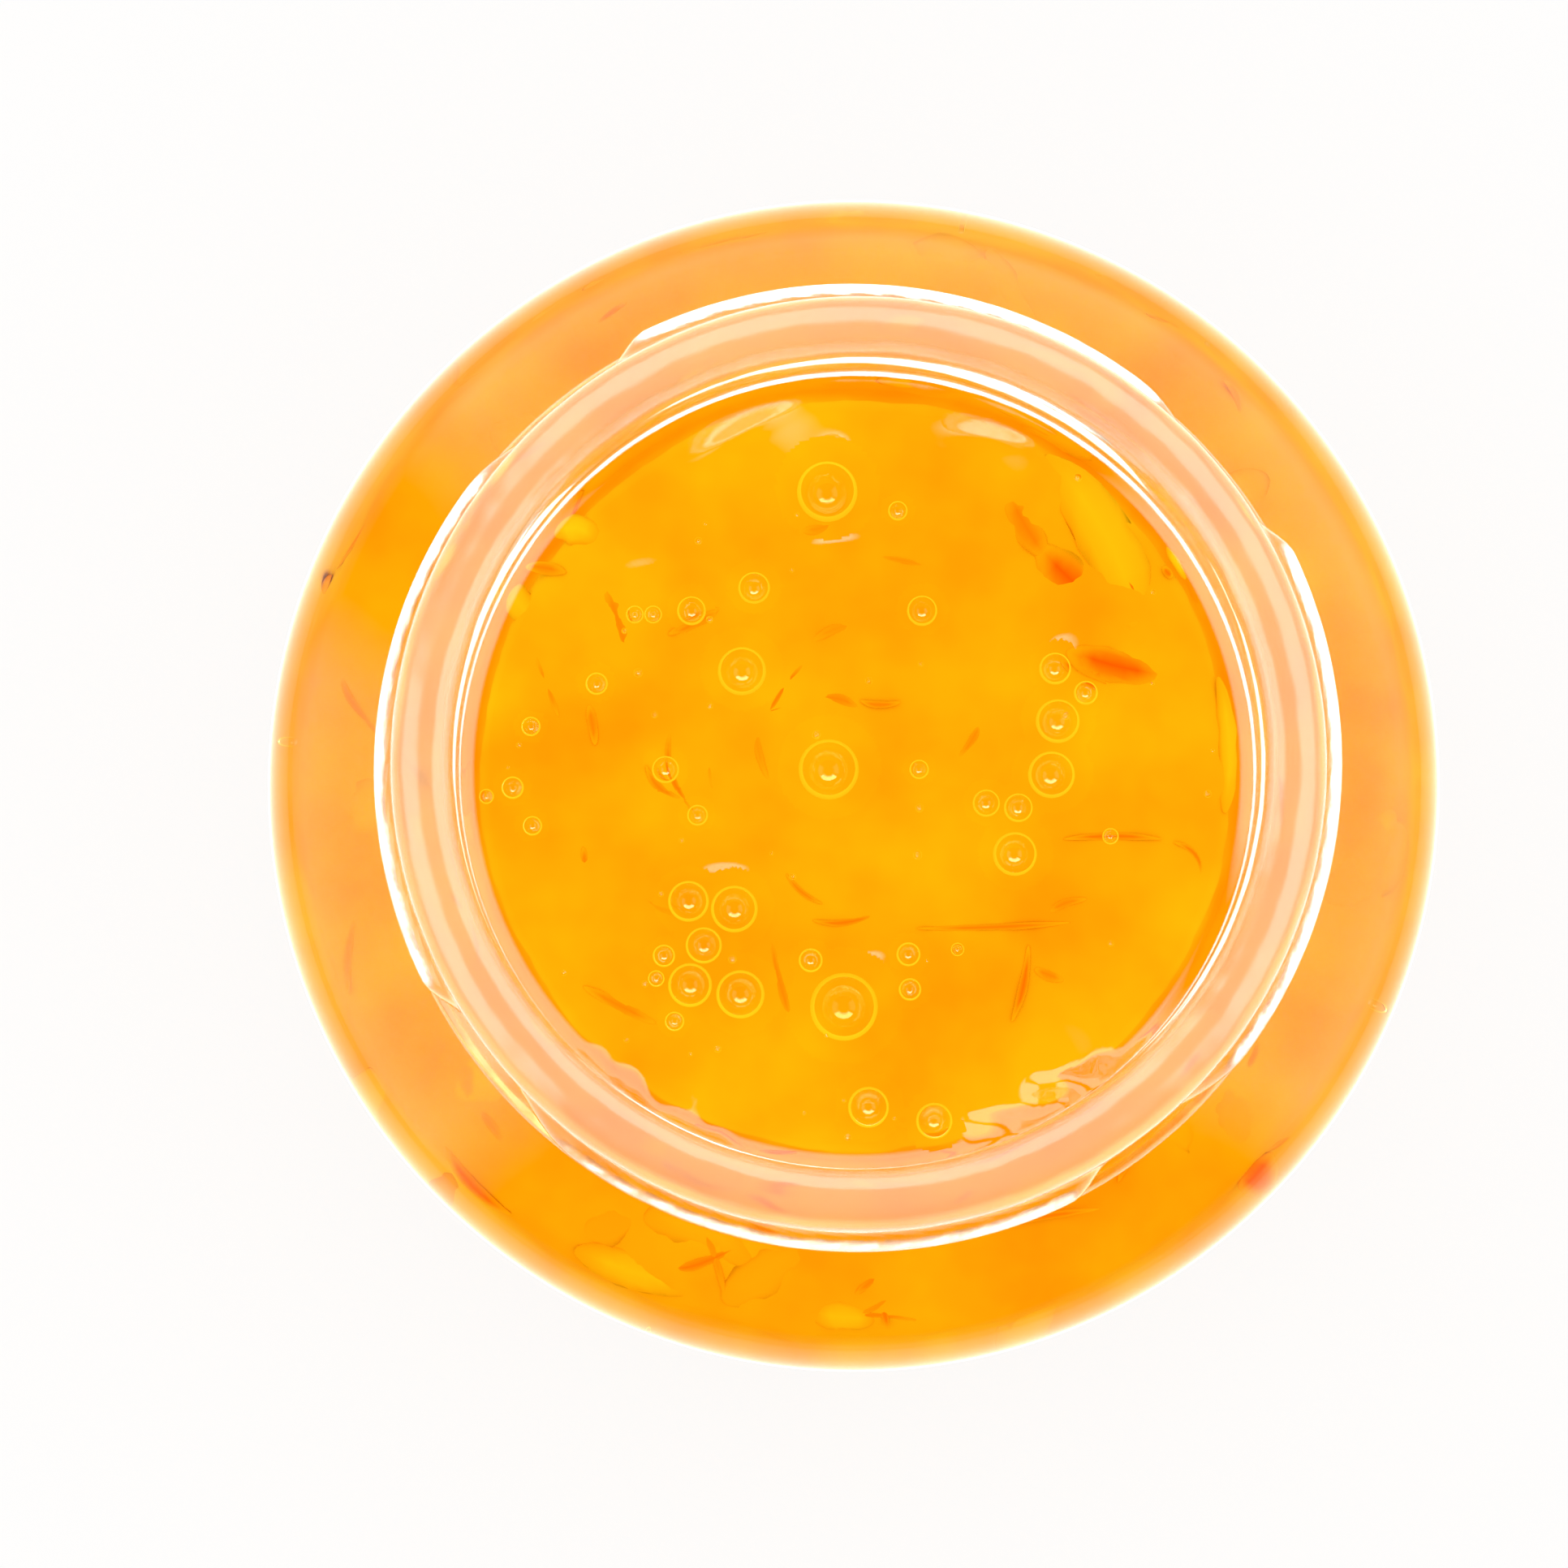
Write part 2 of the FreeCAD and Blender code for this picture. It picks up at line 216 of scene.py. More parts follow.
def turn_round(bm, steps):
    """Spins the wire into a closed round shape with its faces outwards.

    One sector is spun and then repeated, which is far quicker than one long spin.
    """
    sector = math.tau / SECTORS
    centre = {"cent": (0, 0, 0), "axis": (0, 0, 1), "dvec": (0, 0, 0)}
    bmesh.ops.spin(
        bm, geom=bm.verts[:] + bm.edges[:], angle=sector, steps=steps // SECTORS, **centre
    )
    bmesh.ops.spin(
        bm, geom=bm.verts[:] + bm.edges[:] + bm.faces[:], angle=math.tau - sector,
        steps=SECTORS - 1, use_duplicate=True, **centre,
    )
    bmesh.ops.remove_doubles(bm, verts=bm.verts[:], dist=CLOSE)
    bmesh.ops.recalc_face_normals(bm, faces=bm.faces[:])


def finish_piece(bm, name, material):
    """Makes the bmesh a smooth piece that rides on the jar."""
    mesh = bpy.data.meshes.new(name)
    bm.to_mesh(mesh)
    bm.free()
    mesh.shade_smooth()
    mesh.materials.append(material)
    piece = bpy.data.objects.new(name, mesh)
    bpy.context.scene.collection.objects.link(piece)
    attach(piece, "root")
    return piece


def add_node(tree, kind, values=(), links=(), **settings):
    """Adds a node with its settings, the values of its sockets and what feeds them.

    What feeds a socket is another socket, or a node for its first one.
    """
    node = tree.nodes.new(kind)
    for name, setting in settings.items():
        setattr(node, name, setting)
    for socket, value in dict(values).items():
        node.inputs[socket].default_value = value
    for socket, source in dict(links).items():
        if isinstance(source, bpy.types.Node):
            source = source.outputs[0]
        tree.links.new(source, node.inputs[socket])
    return node


def new_material(name):
    """An empty node material and its tree."""
    material = bpy.data.materials.new(name)
    material.use_nodes = True
    material.node_tree.nodes.clear()
    return material, material.node_tree


WHITE = (1.0, 1.0, 1.0, 1.0)


def rgba(three):
    """A colour with full alpha, as sockets want it."""
    return (*three, 1.0)


def by_height(tree, heights, low=0.0, high=1.0):
    """A value that goes from low to high between two heights, in the given order."""
    spot = add_node(tree, "ShaderNodeTexCoord")
    parts = add_node(tree, "ShaderNodeSeparateXYZ", (), {0: spot.outputs["Object"]})
    return add_node(tree, "ShaderNodeMapRange", {
        1: heights[0], 2: heights[1], 3: low, 4: high,
    }, {0: parts.outputs["Z"]})


def let_light_through(tree, shader):
    """The shader for the eye and its reflections, and a clear way for the light itself."""
    path = add_node(tree, "ShaderNodeLightPath")
    passing = add_node(tree, "ShaderNodeBsdfTransparent")
    for ray in ("Is Diffuse Ray", "Is Shadow Ray"):
        mix = add_node(tree, "ShaderNodeMixShader", (), {
            0: path.outputs[ray], 1: shader, 2: passing,
        })
        shader = mix.outputs[0]
    return shader


def clear_surface(tree, against_air, against_neighbour, values=()):
    """A clear surface with one index against air and another where it is marked as wetted."""
    free, wetted = (
        add_node(tree, "ShaderNodeBsdfPrincipled", {
            "Base Color": WHITE, "Transmission Weight": 1.0, "Roughness": 0.0,
            "IOR": index, **dict(values),
        })
        for index in (against_air, against_neighbour)
    )
    mark = add_node(tree, "ShaderNodeAttribute", attribute_name=WETTED)
    both = add_node(tree, "ShaderNodeMixShader", (), {
        0: mark.outputs["Fac"], 1: free, 2: wetted,
    })
    return free, both.outputs[0]


def mark_wetted(bm, is_wetted):
    """Marks the faces that lie against the neighbouring clear piece."""
    layer = bm.faces.layers.float.new(WETTED)
    bm.normal_update()
    for face in bm.faces:
        place = face.calc_center_median()
        across = math.hypot(place.x, place.y)
        outward = (face.normal.x * place.x + face.normal.y * place.y) / across
        face[layer] = 1.0 if is_wetted(place, outward, face.normal.z) else 0.0


# ---------------------------------------------------------------- the glass


def mouth_radius(sizes):
    """Bore of the mouth."""
    return sizes.neck_radius - sizes.neck_wall


def bead_middle(sizes):
    """Height of the middle of the bead."""
    return RIM_HEIGHT - sizes.finish_height + sizes.bead_lift


def glass_corners(sizes):
    """Outside and inside of the jar's section, each from the base up."""
    rim = RIM_HEIGHT
    neck_root = rim - sizes.finish_height
    shoulder_break = neck_root - sizes.shoulder_gentle
    shoulder_edge = shoulder_break - sizes.shoulder_steep
    panel_head = shoulder_edge - sizes.shoulder_round - sizes.shoulder_band
    panel = BODY_RADIUS - sizes.label_recess
    inside = panel - sizes.body_wall
    bearing = BODY_RADIUS - sizes.heel_round - sizes.bearing_width
    neck = sizes.neck_radius
    crest = neck + sizes.bead_reach
    bead = bead_middle(sizes)
    foot, top = sizes.bead_foot / 2, sizes.bead_crest / 2
    outside = [
        (0.0, sizes.push_up, 0.0),
        (sizes.push_up_flat, sizes.push_up, sizes.base_round),
        (bearing - sizes.step_width, sizes.step_height, sizes.step_round),
        (bearing, 0.0, sizes.bearing_round),
        (BODY_RADIUS, 0.0, sizes.heel_round),
        (BODY_RADIUS, sizes.heel_band, sizes.label_round),
        (panel, sizes.heel_band + sizes.label_slope, sizes.label_round),
        (panel, panel_head - sizes.label_slope, sizes.label_round),
        (BODY_RADIUS, panel_head, sizes.label_round),
        (BODY_RADIUS, shoulder_edge, sizes.shoulder_round),
        ((BODY_RADIUS + neck) / 2, shoulder_break, sizes.shoulder_blend),
        (neck, neck_root, sizes.neck_round),
        (neck, bead - foot, sizes.bead_root),
        (crest, bead - top, sizes.bead_round),
        (crest, bead + top, sizes.bead_round),
        (neck, bead + foot, sizes.bead_root),
        (neck, rim, sizes.lip_outer),
    ]
    lining = [
        (0.0, sizes.base_glass + sizes.push_up, 0.0),
        (sizes.push_up_flat, sizes.base_glass + sizes.push_up, sizes.base_round),
        (bearing, sizes.base_glass, sizes.base_round),
        (inside, sizes.base_glass, sizes.floor_round),
        (inside, shoulder_edge - sizes.shoulder_glass, sizes.shoulder_round - sizes.body_wall),
        (mouth_radius(sizes), neck_root - sizes.body_wall, sizes.throat_round),
    ]
    return outside, lining


LUG_POWER = 0.8  # a lug's section, between a half circle at 0.5 and a parabola at 1


def lug_height(sizes, place):
    """How far a lug stands out of the neck at a place on it."""
    turn = (sizes.lug_start - math.atan2(place.y, place.x)) % (math.tau / sizes.lug_count)
    share = turn / sizes.lug_sweep
    if share > 1:
        return 0.0
    ends = min(1.0, turn / sizes.lead_in, (sizes.lug_sweep - turn) / sizes.lead_out)
    fullness = ends * ends * (3 - 2 * ends)
    high = RIM_HEIGHT - sizes.lug_drop
    low = bead_middle(sizes) + (sizes.bead_foot + sizes.lug_width) / 2 + sizes.lug_gap
    middle = high + (low - high) * share
    off = abs(place.z - middle) / (sizes.lug_width / 2)
    if off >= 1:
        return 0.0
    return sizes.lug_reach * fullness * (1 - off ** 2) ** LUG_POWER


VEIL_LAYER = "pale_veil"  # how much of the surface carries the painted pale veil
PALE_VEIL_SHARE = 0.16
FINISH_CUTS = 34  # makes the lugs' rows about 0.3 mm high
BORE_CUTS = 60
GLASS_STEPS = 300
LUG_MARGIN = 1.3 * MM  # how far the search for lugs starts inside the neck and the bead
NEAR_LEVEL = 1 * MM  # over this the waves of the gel's top are looked at


def pale_veil_share(sizes, place):
    """How much of the lip's top carries a pale dull coat: a painted veil of light."""
    radius = math.hypot(place.x, place.y)
    if place.z < RIM_HEIGHT - sizes.lip_outer:
        return 0.0
    middle = sizes.neck_radius - sizes.lip_outer
    off = abs(radius - middle) / sizes.lip_outer
    return PALE_VEIL_SHARE * max(0.0, 1 - off ** 3)


class CHUTNEY_OT_glass(bpy.types.Operator):
    """Turns the jar's section, raises its lugs and gives it the slight waves of blown glass"""

    bl_idname = "chutney.glass"
    bl_label = "Jar glass"

    def execute(self, context):
        sizes = context.scene.glass_sizes
        outside, lining = glass_corners(sizes)
        mouth = mouth_radius(sizes)
        lip = (mouth, RIM_HEIGHT, sizes.lip_inner)
        bm = bmesh.new()
        section(bm, outside + [lip] + lining[::-1])
        neck = sizes.neck_radius
        bead_top = bead_middle(sizes) + sizes.bead_foot / 2
        divide(bm, (neck, bead_top), (neck, RIM_HEIGHT), FINISH_CUTS)
        divide(bm, (mouth, 0.0), (mouth, RIM_HEIGHT), BORE_CUTS)
        turn_round(bm, GLASS_STEPS)
        for vert in bm.verts:
            place = vert.co
            radius = math.hypot(place.x, place.y)
            if radius > neck - LUG_MARGIN and place.z > bead_top - LUG_MARGIN:
                rise = lug_height(sizes, place)
                if rise:
                    new = max(radius, neck + rise)
                    place.x *= new / radius
                    place.y *= new / radius
        # the painted pale veil of light on the lip's top
        pale_veil = bm.verts.layers.float.new(VEIL_LAYER)
        for vert in bm.verts:
            vert[pale_veil] = pale_veil_share(sizes, vert.co)
        chutney = context.scene.chutney_sizes
        level = gel_level(chutney)

        def is_wetted(place, outward, upward):
            """The lining up to the gel: it faces the axis, or upwards on the floor."""
            if place.z < level - NEAR_LEVEL:
                on_floor = place.z < 2 * sizes.base_glass and upward > 0.3
                above_base = place.z > sizes.base_glass - 0.1 * MM
                return above_base and (outward < -0.05 or on_floor)
            contact = level + relief(mouth, chutney, place.x, place.y)
            return place.z < contact and outward < -0.5

        mark_wetted(bm, is_wetted)
        material = container_glass(context.scene.finishes)
        piece = finish_piece(bm, "glass_walls", material)
        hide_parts("jar_glass")
        piece.visible_diffuse = False  # let_light_through does the same, but slower
        return {"FINISHED"}


FINISH_FOOT = (RIM_HEIGHT - 13.5 * MM, RIM_HEIGHT - 12.5 * MM)  # the finish sets in here
FINISH_ROUGHNESS = 0.2  # the moulded finish is a little less smooth than the blown body
BODY_GLOSS = 0.22  # the blown body mirrors this much of what the finish mirrors
# roughness of the pale coat that paints a veil of light on the lip
VEIL_ROUGHNESS = 0.6
WAVES = 90.0  # waves of blown glass, about 11 mm apart
RIPPLES = 450.0  # ripples from the mould, about 2 mm apart
WAVE_DEPTH = {"Strength": 0.25, "Distance": 0.4 * MM}


def container_glass(finishes):
    """Soda-lime container glass, pressed and blown: fire-polished and faintly green, with a
    painted pale veil on the lip's top.
    """
    material, tree = new_material("soda-lime glass")
    tint = {"Base Color": rgba(finishes.glass_tint)}
    body, clear = clear_surface(tree, GLASS_IOR, MATCHED, tint)
    # painted light: a pale dull coat mixed in on the lip's top whitens it like a veil of light
    pale_veil = add_node(tree, "ShaderNodeBsdfPrincipled", {
        "Base Color": WHITE, "Roughness": VEIL_ROUGHNESS,
    })
    veil_mask = add_node(tree, "ShaderNodeAttribute", attribute_name=VEIL_LAYER)
    both = add_node(tree, "ShaderNodeMixShader", (), {
        0: veil_mask.outputs["Fac"], 1: clear, 2: pale_veil,
    })
    surface = let_light_through(tree, both.outputs[0])
    spot = add_node(tree, "ShaderNodeTexCoord")
    waves, ripples = (
        add_node(tree, "ShaderNodeTexNoise", {"Scale": scale, "Detail": 0.0}, {
            "Vector": spot.outputs["Object"],
        })
        for scale in (WAVES, RIPPLES)
    )
    finish = by_height(tree, FINISH_FOOT)
    soft = by_height(tree, FINISH_FOOT, 0.0, FINISH_ROUGHNESS)
    tree.links.new(soft.outputs[0], body.inputs["Roughness"])
    shine = by_height(tree, FINISH_FOOT, BODY_GLOSS, 1.0)
    tree.links.new(shine.outputs[0], body.inputs["Specular Tint"])
    height = add_node(tree, "ShaderNodeMath", (), {0: ripples, 1: finish, 2: waves},
                      operation="MULTIPLY_ADD")
    bump = add_node(tree, "ShaderNodeBump", WAVE_DEPTH, {"Height": height})
    tree.links.new(bump.outputs[0], body.inputs["Normal"])
    add_node(tree, "ShaderNodeOutputMaterial", (), {"Surface": surface})
    return material


# ---------------------------------------------------------------- the chutney

# Low mounds on the chutney: share of the mouth radius, clock angle, height, breadth.
MOUNDS = [
    (0.84, 108, 0.70, 4.2),
    (0.84, 69, 0.50, 3.6),
    (0.60, 42, 0.35, 6.0),
    (0.88, 239, 0.45, 3.6),
    (0.88, 303, 0.55, 3.8),
    (0.10, 200, -0.25, 9.0),
]

# Small folds of the gel's skin: place across and along, height, length, breadth, turn.
FOLDS = [
    (-7.2, 22.2, 0.17, 2.8, 0.55, 28), (8.5, 21.8, 0.13, 2.0, 0.5, -9),
    (-1.6, 21.3, 0.20, 0.8, 0.6, 0), (-1.5, 14.9, 0.20, 1.6, 0.5, 8),
    (-8.6, -6.6, 0.22, 1.4, 0.5, 0), (-3.0, -12.4, 0.22, 1.0, 0.5, -12),
    (0.8, -12.4, 0.22, 1.0, 0.5, 12), (-1.4, -17.7, 0.15, 1.4, 0.5, 0),
    (13.3, 8.3, 0.18, 0.9, 0.5, 20), (-14.0, 13.2, 0.12, 1.8, 0.7, 10),
]

# Ragged edges where gel clings to the glass: middle clock angle, half its width, reach.
EDGES = [(301, 17, 2.7), (238, 14, 1.8), (78, 20, 0.9)]

RAGGED = (0.75, 1.1, 420)  # least reach of the clinging edge, its raggedness and scale
EDGE_REACH = 5 * MM  # none reaches further from the glass
EDGE_SLOPE, EDGE_SOFTNESS = 0.42, 0.12 * MM
FOLD_END = 3  # lengths from its middle at which a fold is over
FILM_REACH = 1.7  # over a large bubble the gel is a thin film, which bends nothing
LARGE = 1.2  # the least large bubble
TOP_CUTS = 140  # rows of the gel's top, under 0.2 mm apart
TOP_STEPS = 400

# Bubbles close under the surface: place across and along, and diameter, in millimetres.
BUBBLES = [
    (-1.9, 18.6, 4.0), (-1.8, 0.4, 4.0), (-0.8, -15.2, 4.5), (-7.5, 6.8, 3.2),
    (-8.0, -8.8, 3.1), (-11.0, -8.3, 2.7), (-10.9, -13.8, 2.9), (-7.6, -14.4, 3.2),
    (-10.0, -11.2, 2.4), (13.2, 3.5, 2.9), (12.8, 0.0, 3.1), (10.4, -5.2, 2.9),
    (0.8, -21.8, 2.7), (5.1, -22.7, 2.4), (-10.8, 10.7, 1.9), (4.3, 10.7, 2.0),
    (-17.0, 5.9, 1.5), (-12.5, 0.3, 1.8), (-10.4, -2.7, 1.4), (-22.5, -0.9, 1.5),
    (-21.2, -3.4, 1.3), (8.5, -1.9, 1.8), (10.6, -2.2, 1.9), (15.0, 5.3, 1.6),
    (13.0, 6.9, 2.1), (3.4, -11.8, 1.6), (3.5, -14.1, 1.5), (4.1, 0.3, 1.3),
    (-14.5, 10.4, 1.2), (-13.3, 10.4, 1.2), (-6.7, 12.2, 2.1), (2.7, 17.2, 1.3),
    (16.6, -4.1, 1.1), (-12.6, -11.9, 1.5), (-11.9, -16.2, 1.3), (-13.1, -13.4, 1.1),
    (-3.0, -12.2, 1.6), (-21.3, 3.1, 1.3), (-24.2, -1.5, 1.0), (6.6, -11.5, 0.9),
]

# Shreds and fruit near the top: start, middle and end across and along, width, depth
# below the level, and tone from the pale to the deep colour.
SHREDS = [
    (9.8, 19.2, 11.2, 16.5, 12.7, 14.3, 1.8, 5.12, 0.5),
    (12.0, 15.2, 14.2, 12.9, 16.8, 10.6, 2.8, 5.1, 1.0),
    (14.0, 8.5, 17.0, 7.4, 20.8, 6.7, 2.2, 5.12, 1.0),
    (20.3, 13.9, 20.6, 13.5, 20.9, 13.2, 0.6, 4.9, 0.7),
    (-22.4, 14.3, -20.8, 13.9, -19.1, 13.5, 0.8, 4.95, 0.5),
    (-16.7, 13.0, -15.6, 10.0, -14.8, 6.7, 1.3, 5.12, 0.4),
    (-17.6, 4.8, -17.4, 3.5, -17.2, 2.1, 0.7, 4.95, 0.45),
    (4.0, -10.0, 9.4, -9.9, 14.2, -9.6, 0.4, 4.92, 0.55),
    (11.4, -11.1, 11.1, -13.8, 10.4, -16.3, 0.6, 4.92, 0.75),
    (11.8, -12.7, 12.7, -13.1, 13.7, -13.5, 0.8, 4.97, 0.4),
    (13.7, -4.1, 16.9, -3.9, 20.2, -4.1, 0.5, 4.92, 0.7),
    (21.0, -4.3, 22.4, -5.1, 22.8, -6.5, 0.4, 4.92, 0.6),
    (-18.0, -13.8, -15.6, -15.1, -13.1, -16.4, 0.8, 4.97, 0.4),
    (-18.0, -4.6, -17.9, -5.7, -18.0, -6.8, 0.6, 4.95, 0.5),
    (0.3, 5.1, 1.6, 4.8, 3.0, 5.0, 0.5, 4.95, 0.5),
    (-4.6, -6.4, -3.6, -7.6, -2.2, -8.4, 0.4, 4.95, 0.45),
    (-13.9, 0.9, -13.0, -0.6, -11.6, -1.4, 0.5, 4.95, 0.5),
    (25.2, -26.4, 26.3, -25.4, 27.4, -24.0, 1.8, 12.6, 0.9),
    (8.0, -29.3, 12.1, -28.7, 16.2, -28.2, 0.5, 8.9, 0.6),
    (1.8, -33.6, 2.0, -34.8, 2.3, -35.9, 0.5, 10.6, 0.6),
    (-26.8, -23.6, -25.0, -26.4, -22.5, -28.2, 0.9, 11.4, 0.8),
]
FRUIT = [
    (12.4, 21.3, 16.4, 16.0, 18.8, 9.3, 3.8, 5.08, 0.2),
    (20.8, 15.4, 21.4, 14.3, 22.0, 13.2, 0.9, 5.15, 0.0),
    (24.0, 6.7, 24.7, 2.1, 24.4, -2.4, 1.5, 5.12, 0.2),
    (-20.2, 16.2, -18.6, 16.5, -17.0, 15.5, 2.2, 5.15, 0.0),
    (-23.5, 12.7, -22.4, 11.6, -21.3, 10.5, 2.2, 5.15, 0.3),
    (3.5, 34.6, 6.0, 34.7, 8.3, 33.8, 3.0, 10.75, 0.5),
    (-18.4, -30.6, -14.4, -32.0, -10.5, -33.2, 2.6, 10.85, 0.0),
    (-2.9, -34.6, -0.6, -35.0, 1.4, -35.0, 2.2, 10.8, 0.0),
]


def gel_level(chutney):
    """Height of the gel's level above the base."""
    return RIM_HEIGHT - chutney.head_space


def relief(mouth, chutney, across, along):
    """How far the gel's top stands over its level at a point."""
    from_glass = max(0.0, mouth - math.hypot(across, along))
    rise = chutney.meniscus_rise * math.exp(-from_glass / chutney.meniscus_width)
    for share, clock, height, breadth in MOUNDS:
        turn = math.radians(clock)
        offset = math.hypot(
            across - share * mouth * math.cos(turn), along - share * mouth * math.sin(turn)
        )
        rise += height * MM * math.exp(-((offset / (breadth * MM)) ** 2))
    for x, y, height, long, broad, turn in FOLDS:
        off_x, off_y = across / MM - x, along / MM - y
        if abs(off_x) + abs(off_y) > FOLD_END * long:
            continue
        cos, sin = math.cos(math.radians(turn)), math.sin(math.radians(turn))
        along_fold = (off_x * cos + off_y * sin) / long
        over_fold = (off_y * cos - off_x * sin) / broad
        rise += height * MM * math.exp(-along_fold ** 2 - over_fold ** 2)
    return rise + clinging_edge(from_glass, across, along)


def clinging_edge(from_glass, across, along):
    """Climb of the ragged skin of gel that clings to the glass in places."""
    if from_glass > EDGE_REACH:
        return 0.0
    clock = math.degrees(math.atan2(along, across))
    least, raggedness, scale = RAGGED
    ragged = least + raggedness * noise.noise(Vector((across, along, 0.0)) * scale)
    climb = 0.0
    for middle, half, reach in EDGES:
        off = abs((clock - middle + 180) % 360 - 180) / half
        if off < 1:
            width = reach * MM * (1 - off ** 4) * ragged
            above = width - from_glass
            climb += EDGE_SLOPE * (above + math.hypot(above, EDGE_SOFTNESS)) / 2
    return climb


class CHUTNEY_OT_gel(bpy.types.Operator):
    """Pours the clear gel: it reaches just into the glass and climbs it in a meniscus"""

    bl_idname = "chutney.gel"
    bl_label = "Clear gel"

    def execute(self, context):
        glass, chutney = context.scene.glass_sizes, context.scene.chutney_sizes
        _, lining = glass_corners(glass)
        mouth = mouth_radius(glass)
        level = gel_level(chutney)
        overlap = chutney.wall_overlap
        corners = [(0.0, lining[0][1] - overlap, 0.0)]
        corners += [(across, up - overlap, rounding) for across, up, rounding in lining[1:3]]
        corners += [
            (lining[3][0] + overlap, lining[3][1] - overlap, lining[3][2]),
            (lining[4][0] + overlap, lining[4][1] + overlap, lining[4][2]),
            (lining[5][0] + overlap, lining[5][1] + overlap, lining[5][2]),
            (lining[5][0] + overlap, level, 0.0),
            (0.0, level, 0.0),
        ]
        bm = bmesh.new()
        section(bm, corners)
        divide(bm, (0.0, level), (mouth + overlap, level), TOP_CUTS)
        turn_round(bm, TOP_STEPS)
        for vert in bm.verts:
            if vert.co.z > level - CLOSE:
                vert.co.z += relief(mouth, chutney, vert.co.x, vert.co.y)
        films = [
            (x * MM, y * MM, FILM_REACH * breadth / 2 * MM)
            for x, y, breadth in BUBBLES if breadth > LARGE
        ]

        def is_matched(place, outward, upward):
            """All that touches the glass, and the thin films over large bubbles."""
            if place.z < level - NEAR_LEVEL / 2:
                return True
            return any(
                abs(place.x - x) < reach and math.hypot(place.x - x, place.y - y) < reach
                for x, y, reach in films
            )

        mark_wetted(bm, is_matched)
        piece = finish_piece(bm, "chutney_gel", fruit_gel(context.scene.finishes))
        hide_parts("chutney")
        return {"FINISHED"}


GEL_DENSITY = 140.0  # shares of light lost in each metre of gel, before its colour


def fruit_gel(finishes):
    """Pectin gel of boiled sugar and juice: clear, wet and golden in depth."""
    material, tree = new_material("pectin gel")
    _, clear = clear_surface(tree, GEL_IOR, MATCHED)
    surface = let_light_through(tree, clear)
    depth = add_node(tree, "ShaderNodeVolumeAbsorption", {
        "Color": rgba(finishes.gel_tint), "Density": GEL_DENSITY,
    })
    add_node(tree, "ShaderNodeOutputMaterial", (), {
        "Surface": surface, "Volume": depth,
    })
    return material


PULP_ROUNDS = (7 * MM, 4 * MM, 2 * MM, 2 * MM, 0.8 * MM)  # from the push-up to the top
PULP_MESH = 0.9 * MM
PULP_STEPS = 200
LUMPS = 220  # lumps of the pulp's surface, about 4.5 mm apart
LUMP_OCTAVES = (0.8, 2.0, 3)  # roughness, step in scale and count
LUMP_HEIGHT = 0.3 * MM


def pulp_section(glass, chutney):
    """Section of the cloudy heart, a skin of clear gel inside the glass."""
    _, lining = glass_corners(glass)
    skin = chutney.skin
    top = gel_level(chutney) - chutney.clear_depth
    mouth = mouth_radius(glass) - skin
    under_slope = 0.6 * skin  # under a slope this drop leaves about a skin of gel
    return [
        (0.0, lining[0][1] + skin, 0.0),
        (lining[1][0], lining[1][1] + skin, PULP_ROUNDS[0]),
        (lining[3][0] - skin, lining[3][1] + skin, PULP_ROUNDS[1]),
        (lining[4][0] - skin, lining[4][1] - skin, PULP_ROUNDS[2]),
        (mouth, lining[5][1] - under_slope, PULP_ROUNDS[3]),
        (mouth, top, PULP_ROUNDS[4]),
        (0.0, top, 0.0),
    ]


class CHUTNEY_OT_pulp(bpy.types.Operator):
    """Fills the heart of the gel with cloudy pulp, uneven at its surface"""

    bl_idname = "chutney.pulp"
    bl_label = "Cloudy pulp"

    def execute(self, context):
        bm = bmesh.new()
        section(bm, pulp_section(context.scene.glass_sizes, context.scene.chutney_sizes))
        long_edges = [edge for edge in bm.edges if edge.calc_length() > 3 * MM]
        for edge in long_edges:
            cuts = int(edge.calc_length() / PULP_MESH)
            bmesh.ops.subdivide_edges(bm, edges=[edge], cuts=cuts)
        turn_round(bm, PULP_STEPS)
        for vert in bm.verts:
            lump = noise.fractal(vert.co * LUMPS, *LUMP_OCTAVES)
            vert.co += vert.normal * lump * LUMP_HEIGHT
        finish_piece(bm, "chutney_pulp", cloudy_pulp(context.scene.finishes))
        return {"FINISHED"}


PATCHES = 120.0  # paler and deeper patches, about 8 mm apart
PATCH_SPREAD = {1: 0.3, 2: 0.7}  # the range of the noise that goes from pale to deep
PULP_ROUGHNESS = 0.6
UNDER_NECK = (81.0 * MM, 79.5 * MM)  # the painted shade sets in on the way down here
OVER_SIDE = (71.0 * MM, 75.0 * MM)  # and is weaker on the side wall
SIDE_SHARE = 0.35


def cloudy_pulp(finishes):
    """Cooked fruit pulp in syrup: light soaks in and comes back warm and patchy."""
    material, tree = new_material("cooked fruit pulp")
    spot = add_node(tree, "ShaderNodeTexCoord")
    patches = add_node(tree, "ShaderNodeTexNoise", {"Scale": PATCHES, "Detail": 3.0}, {
        "Vector": spot.outputs["Object"],
    })
    spread = add_node(tree, "ShaderNodeMapRange", PATCH_SPREAD, {0: patches})
    tone = add_node(tree, "ShaderNodeMix", {
        6: rgba(finishes.pulp), 7: rgba(finishes.pulp_dark),
    }, {0: spread}, data_type="RGBA")
    matt_body(tree, finishes, tone.outputs[2])
    return material


